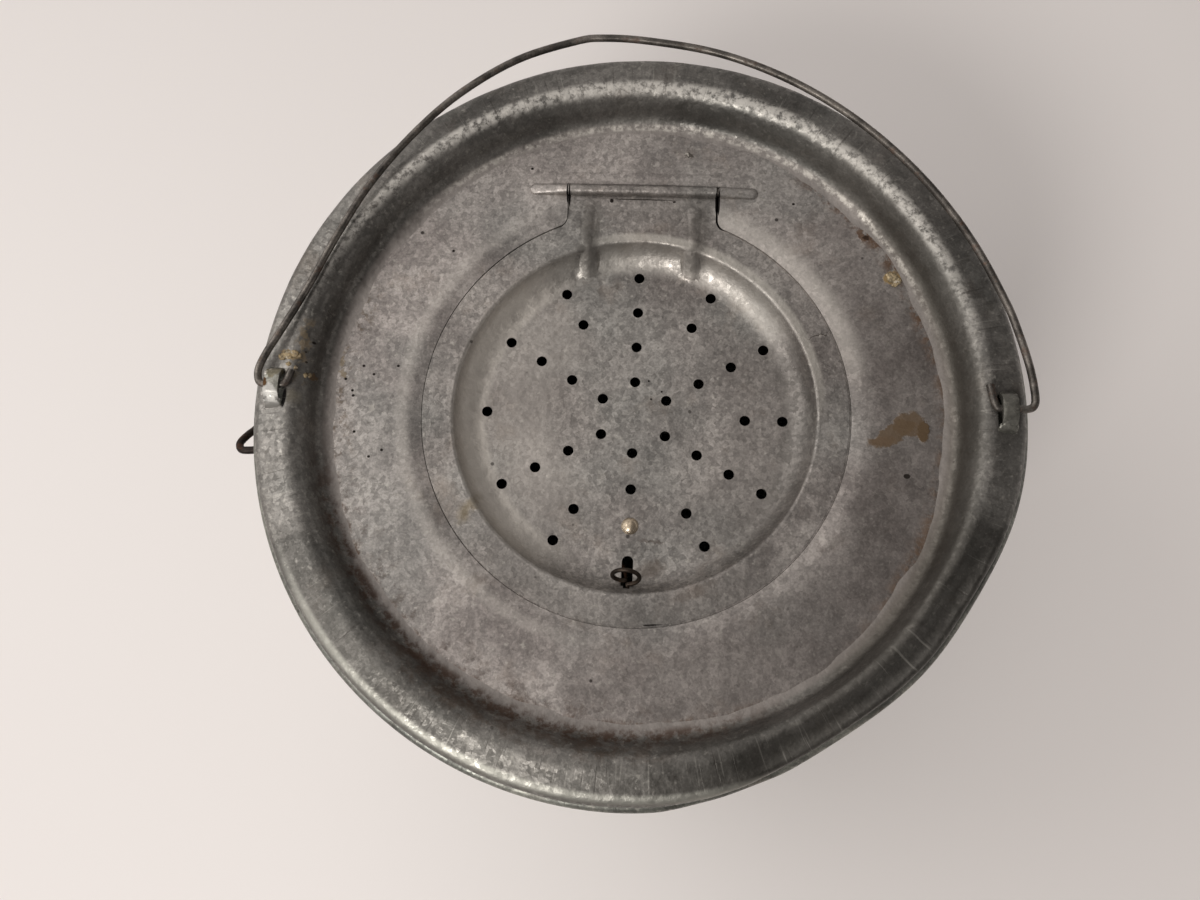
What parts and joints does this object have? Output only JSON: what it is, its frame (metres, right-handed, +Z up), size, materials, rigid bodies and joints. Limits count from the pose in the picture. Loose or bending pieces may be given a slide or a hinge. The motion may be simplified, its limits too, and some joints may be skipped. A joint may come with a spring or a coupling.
{
  "type": "minnow bucket",
  "caption": "Weathered galvanized minnow bucket: perforated floating inner bucket with a hinged, latched door, standing in a round outer pail; both have wire bails.",
  "frame": {"origin": "centre of the ring the pail stands on, at the level of the ground", "axes": "+Z up through the middle of both buckets, +Y from the latch to the door hinge, +X to the bails' right ears"},
  "size_m": [0.3017, 0.2861, 0.2356],
  "materials": {
    "weathered_zinc": "weathered, dull galvanized sheet with light rust at seams and edges",
    "inner_zinc": "weathered, dark greenish grey galvanized sheet",
    "deck_zinc": "weathered, greyish taupe and finely speckled, with brown patches",
    "collar_zinc": "weathered, dented galvanized sheet with bright worn crest",
    "door_zinc": "weathered galvanized pressing with stains and scratches",
    "wire_steel": "dull grey-brown steel wire",
    "rusted_wire": "dark rusted steel wire",
    "dark_wire": "dark, browned thin steel wire",
    "rivet_steel": "worn rivet heads with brown rims"
  },
  "bodies": {
    "pail": {"pail_wall": "weathered_zinc", "pail_bottom": "weathered_zinc", "rim_wire": "wire_steel", "pail_ear_left": "weathered_zinc", "pail_ear_right": "weathered_zinc", "ear_rivets": "rivet_steel", "inner_body": "inner_zinc", "inner_bottom": "inner_zinc", "deck": "deck_zinc", "float_collar": "collar_zinc", "float_wall": "inner_zinc", "ear_pocket_left": "inner_zinc", "ear_pocket_right": "inner_zinc", "hinge_pin": "wire_steel"},
    "inner_bail": {"inner_bail": "wire_steel"},
    "outer_bail": {"pail_bail": "rusted_wire"},
    "door": {"door": "door_zinc", "latch_rivet": "rivet_steel", "latch_clip": "door_zinc"},
    "latch": {"latch_wire": "dark_wire"}
  },
  "joints": [
    {"name": "inner_bail_swing", "type": "hinge", "parent": "pail", "child": "inner_bail", "pos_m": [0, 0.001, 0.2317], "axis": [1, 0, 0], "range_deg": [0, 178]},
    {"name": "outer_bail_swing", "type": "hinge", "parent": "pail", "child": "outer_bail", "pos_m": [0, 0, 0.204], "axis": [0.9925, 0.1219, 0], "range_deg": [0, 252]},
    {"name": "door_hinge", "type": "hinge", "parent": "pail", "child": "door", "pos_m": [0, 0.0878, 0.2177], "axis": [-1, 0, 0], "range_deg": [0, 145]},
    {"name": "latch_slide", "type": "slide", "parent": "door", "child": "latch", "axis": [0, 1, 0], "range_m": [0, 0.006], "stiffness_N_per_m": 150}
  ]
}
